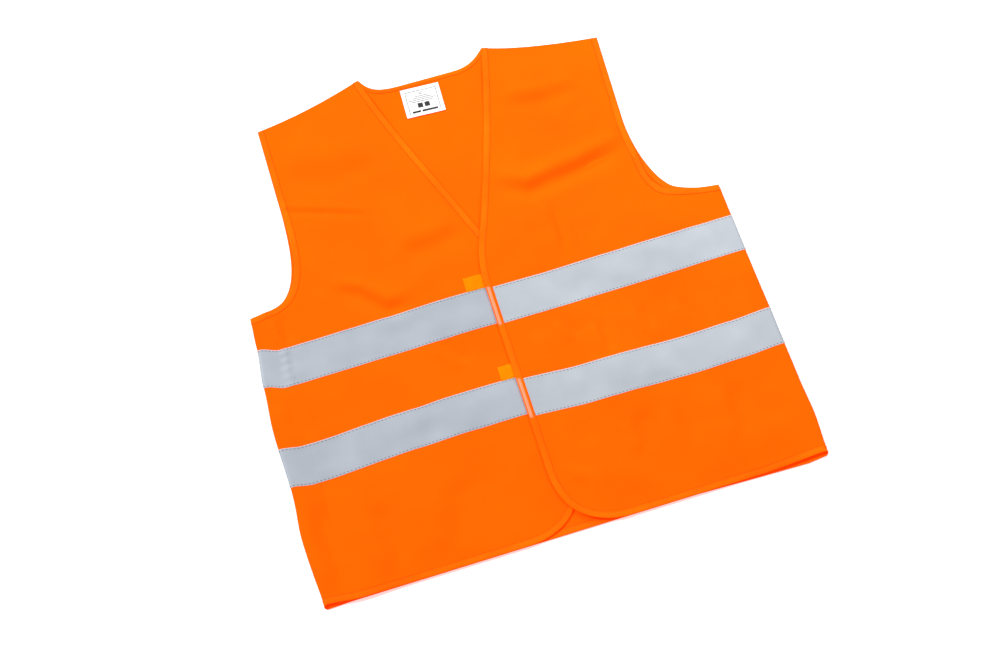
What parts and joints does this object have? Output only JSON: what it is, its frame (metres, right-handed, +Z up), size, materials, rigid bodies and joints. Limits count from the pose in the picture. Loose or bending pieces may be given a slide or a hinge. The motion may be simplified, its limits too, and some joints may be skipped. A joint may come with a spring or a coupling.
{
  "type": "high visibility vest",
  "caption": "Sleeveless high visibility vest lying flat and closed: bound edges, a V neck, horizontal reflective tapes, a hook and loop front closure and a neck label.",
  "frame": {"origin": "on the surface that the vest lies on, under the middle of its length and width", "axes": "the vest lies on its back: +Z up out of the front, +Y towards the neck, +X towards the wearer's left side"},
  "size_m": [0.6294, 0.6652, 0.0141],
  "materials": {
    "orange_cloth": "thin warp-knitted polyester in a fluorescent orange, matt with a faint sheen",
    "edge_binding": "folded knitted binding tape in the same orange, slightly shinier than the cloth, sewn with matching thread",
    "reflective_tape": "silver-grey glass bead reflective fabric, satin, sewn along both edges with grey thread",
    "loop_tape": "brushed loop side of a touch fastener, yellow orange, fuzzy and matt",
    "hook_tape": "hook side of a touch fastener, orange, rows of small stiff hooks",
    "label_cloth": "woven white label with grey printed rules, soft satin"
  },
  "bodies": {
    "root": {"back_panel": "orange_cloth", "right_front_side_panel": "orange_cloth", "left_front_side_panel": "orange_cloth", "right_shoulder_seam": "orange_cloth", "left_shoulder_seam": "orange_cloth", "right_side_seam": "orange_cloth", "left_side_seam": "orange_cloth", "back_hem_binding": "edge_binding", "back_neck_binding": "edge_binding", "right_armhole_binding_front": "edge_binding", "right_armhole_binding_back": "edge_binding", "left_armhole_binding_front": "edge_binding", "left_armhole_binding_back": "edge_binding", "right_front_hem_binding": "edge_binding", "left_front_hem_binding": "edge_binding", "back_upper_tape": "reflective_tape", "back_lower_tape": "reflective_tape", "right_front_upper_tape_side": "reflective_tape", "right_front_lower_tape_side": "reflective_tape", "left_front_upper_tape_side": "reflective_tape", "left_front_lower_tape_side": "reflective_tape"},
    "left_front": {"left_front_flap_panel": "orange_cloth", "left_front_edge_binding": "edge_binding", "left_front_upper_tape_flap": "reflective_tape", "left_front_lower_tape_flap": "reflective_tape", "upper_hook_patch": "hook_tape", "lower_hook_patch": "hook_tape"},
    "right_front": {"right_front_flap_panel": "orange_cloth", "right_front_edge_binding": "edge_binding", "right_front_upper_tape_flap": "reflective_tape", "right_front_lower_tape_flap": "reflective_tape", "upper_loop_patch": "loop_tape", "lower_loop_patch": "loop_tape"},
    "label": {"neck_label": "label_cloth"}
  },
  "joints": [
    {"name": "left_front_opens", "type": "hinge", "parent": "root", "child": "left_front", "pos_m": [0.15, -0.3289, 0.0096], "axis": [-0.1055, 0.9944, 0], "range_deg": [0, 165]},
    {"name": "right_front_opens", "type": "hinge", "parent": "root", "child": "right_front", "pos_m": [-0.097, -0.3289, 0.0096], "axis": [-0.0091, -1, 0], "range_deg": [0, 150]},
    {"name": "neck_label_lifts", "type": "hinge", "parent": "root", "child": "label", "pos_m": [-0.016, 0.3018, 0.0024], "axis": [-1, 0, 0], "range_deg": [0, 150]}
  ],
  "couplings": [
    {"joint": "right_front_opens", "follows": "left_front_opens", "ratio": 0.9}
  ]
}
